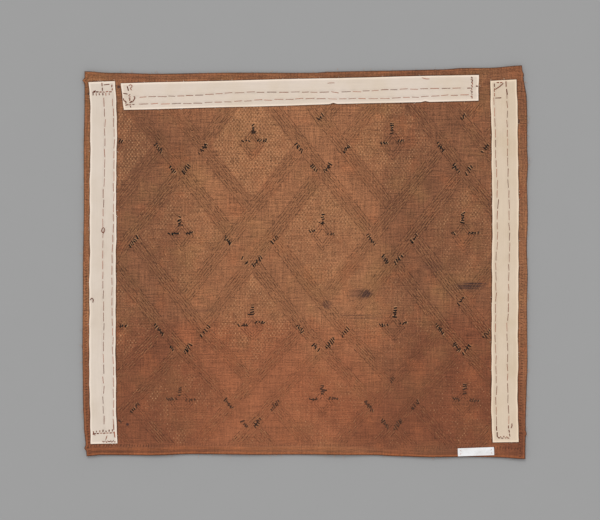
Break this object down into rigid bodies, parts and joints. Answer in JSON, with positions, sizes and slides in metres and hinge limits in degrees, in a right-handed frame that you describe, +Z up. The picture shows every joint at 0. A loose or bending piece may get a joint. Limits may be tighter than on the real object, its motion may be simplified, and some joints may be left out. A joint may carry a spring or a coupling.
{
  "type": "embroidered raffia cloth panel with sewn hanging tapes",
  "caption": "Flat embroidered raffia cloth lying wrong side up, with a diamond lattice, narrow hem, cotton hanging tapes sewn along its sides and a bare cloth label.",
  "frame": {"origin": "on the surface that the cloth lies on, under the middle of its outline", "axes": "+X along the longer side, to the right with the taped face up; +Y towards the edge with the upper tape; +Z up out of the taped face"},
  "size_m": [0.6456, 0.57, 0.003],
  "materials": {
    "raffia": "brown woven raffia with stitched bands and black raffia floats, matt with a slight leaf sheen",
    "cotton_tape": "cream cotton tape, matt",
    "label_cotton": "white cotton tape, matt, bare"
  },
  "bodies": {
    "root": {"cloth": "raffia", "tape_top": "cotton_tape", "tape_left": "cotton_tape", "tape_right": "cotton_tape", "label": "label_cotton"}
  },
  "joints": []
}
